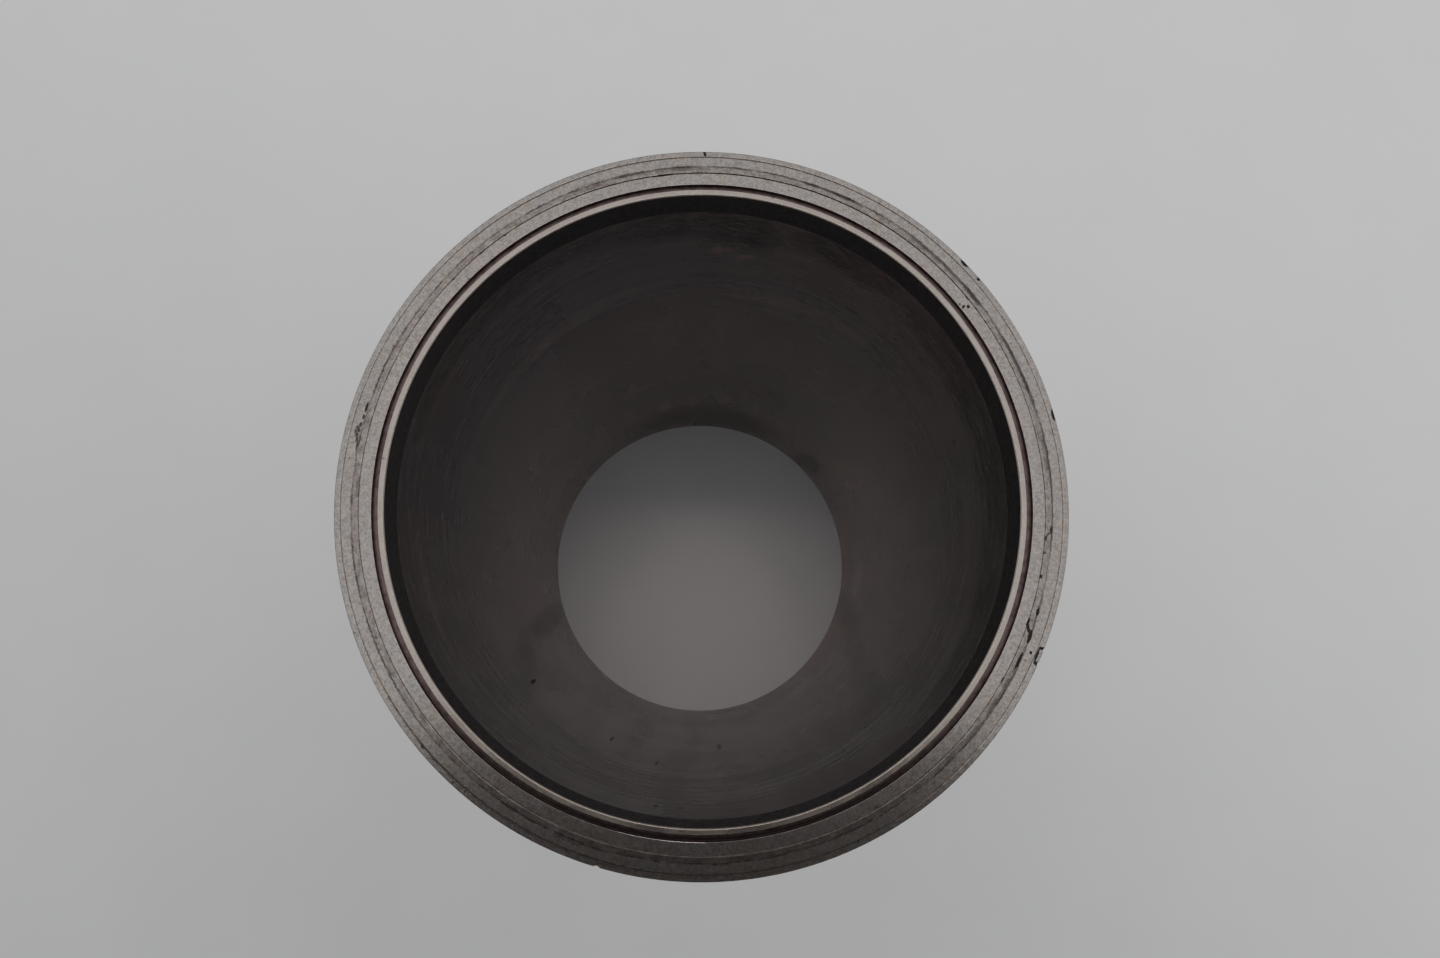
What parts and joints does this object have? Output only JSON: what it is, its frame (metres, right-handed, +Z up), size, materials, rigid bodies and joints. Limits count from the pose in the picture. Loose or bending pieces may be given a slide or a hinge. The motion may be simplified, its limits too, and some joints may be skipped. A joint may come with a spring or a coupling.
{
  "type": "cylinder liner",
  "caption": "Flanged wet cylinder liner with a straight honed bore, a raised fire lip inside a narrow groove, fitting bands and seal-ring grooves.",
  "frame": {"origin": "centre of the bottom face, on the bore axis", "axes": "+Z up the bore axis, towards the flange and the cylinder head; X and Y free, because the liner is round"},
  "size_m": [0.1508, 0.1508, 0.2569],
  "materials": {
    "turned_iron": "fine-turned grey iron, lightly stained"
  },
  "bodies": {
    "root": {"liner": "turned_iron"}
  },
  "joints": []
}
